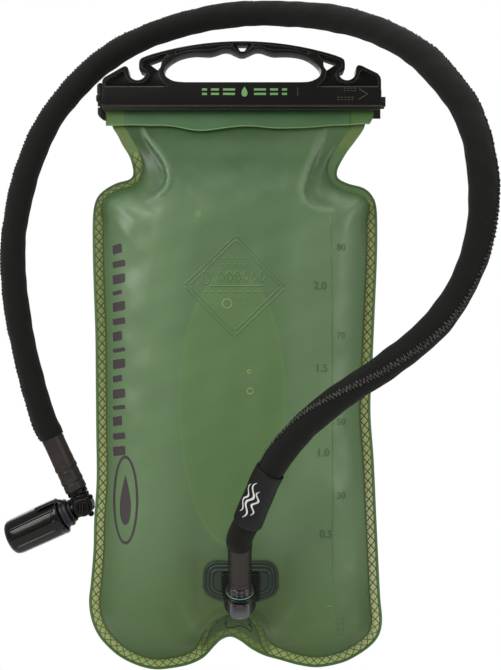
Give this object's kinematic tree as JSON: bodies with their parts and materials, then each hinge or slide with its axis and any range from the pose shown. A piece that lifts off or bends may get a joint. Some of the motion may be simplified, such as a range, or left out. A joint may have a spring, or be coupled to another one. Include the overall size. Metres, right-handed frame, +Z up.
{
  "type": "hydration bladder",
  "caption": "Soft drinking-water reservoir with a slide-off carry handle, quick-release port, insulated drinking hose, shut-off valve and capped mouthpiece.",
  "frame": {"origin": "middle of the flat seat on the underside of the handle, where the reservoir hangs from a hook", "axes": "+Z up as it hangs, +X to the right seen from the front, the front faces -Y; Y = 0 is the plane of the weld between the two films"},
  "size_m": [0.3076, 0.154, 0.446],
  "materials": {
    "film": "translucent olive green film, satin",
    "black_plastic": "satin moulded",
    "port_plastic": "dark grey green moulded",
    "grey_plastic": "light grey moulded",
    "sleeve_fabric": "knit faced foam rubber with a stitched seam",
    "shrink_band": "smooth shrink band",
    "tube": "clear tube",
    "boot_rubber": "smooth grey brown",
    "seal_rubber": "matt",
    "silicone": "grey blue silicone",
    "gloss_cap": "glossy black with lengthwise ribs",
    "spring_steel": "bright wire"
  },
  "bodies": {
    "reservoir": {"front_wall": "film", "back_wall": "film", "folded_mouth": "film", "rear_rail": "black_plastic", "front_rail": "black_plastic", "port_flange": "port_plastic", "port_backing_ring": "port_plastic", "port_housing": "black_plastic", "poppet_spring": "spring_steel", "button_spring": "spring_steel"},
    "slider": {"slider_handle": "black_plastic"},
    "poppet": {"shutoff_poppet": "black_plastic", "poppet_seal": "seal_rubber"},
    "button": {"release_button": "grey_plastic"},
    "plug_seals": {"plug_o_ring_upper": "seal_rubber", "plug_o_ring_lower": "seal_rubber"},
    "hose_lower": {"hose_plug": "black_plastic", "lower_boot": "boot_rubber", "drinking_tube_lower": "tube", "insulation_sleeve_lower": "sleeve_fabric", "label_band": "shrink_band"},
    "hose_upper": {"drinking_tube_upper": "tube", "insulation_sleeve_upper": "sleeve_fabric", "upper_boot": "boot_rubber", "hose_barb": "black_plastic"},
    "elbow": {"valve_elbow": "black_plastic", "swivel_o_ring": "seal_rubber", "mouthpiece": "silicone", "cap_leash": "seal_rubber"},
    "shutoff": {"shutoff_rotor": "black_plastic", "shutoff_knob": "black_plastic", "rotor_o_ring": "seal_rubber"},
    "cap": {"mouthpiece_cap": "gloss_cap"}
  },
  "joints": [
    {"name": "slider_slide", "type": "slide", "parent": "reservoir", "child": "slider", "axis": [1, 0, 0], "range_m": [0, 0.195]},
    {"name": "button_press", "type": "slide", "parent": "reservoir", "child": "button", "axis": [0, 0.8988, 0.4384], "range_m": [0, 0.0018]},
    {"name": "plug_pull", "type": "slide", "parent": "reservoir", "child": "plug_seals", "axis": [0, -0.4384, 0.8988], "range_m": [0, 0.02]},
    {"name": "poppet_lift", "type": "slide", "parent": "reservoir", "child": "poppet", "axis": [0, -0.4384, 0.8988], "range_m": [0, 0.0016]},
    {"name": "plug_swivel", "type": "hinge", "parent": "plug_seals", "child": "hose_lower", "pos_m": [-0.001, -0.032, -0.3501], "axis": [0, -0.4384, 0.8988], "range_deg": [-45, 45], "stiffness_Nm_per_rad": 3},
    {"name": "hose_turn", "type": "hinge", "parent": "hose_lower", "child": "hose_upper", "pos_m": [0.1355, -0.118, -0.108], "axis": [0, 0, 1], "range_deg": [-45, 45], "stiffness_Nm_per_rad": 0.6},
    {"name": "elbow_swivel", "type": "hinge", "parent": "hose_upper", "child": "elbow", "pos_m": [-0.1085, 0.015, -0.3029], "axis": [-0.4195, 0, 0.9078], "range_deg": [-90, 50], "stiffness_Nm_per_rad": 0.05},
    {"name": "shutoff_turn", "type": "hinge", "parent": "elbow", "child": "shutoff", "pos_m": [-0.1085, 0.015, -0.3029], "axis": [0, 1, 0], "range_deg": [0, 90], "stiffness_Nm_per_rad": 0.02},
    {"name": "cap_pull", "type": "slide", "parent": "elbow", "child": "cap", "axis": [-0.9078, 0, -0.4195], "range_m": [0, 0.036], "stiffness_N_per_m": 60}
  ],
  "couplings": [
    {"joint": "poppet_lift", "follows": "plug_pull", "ratio": 0.08}
  ]
}
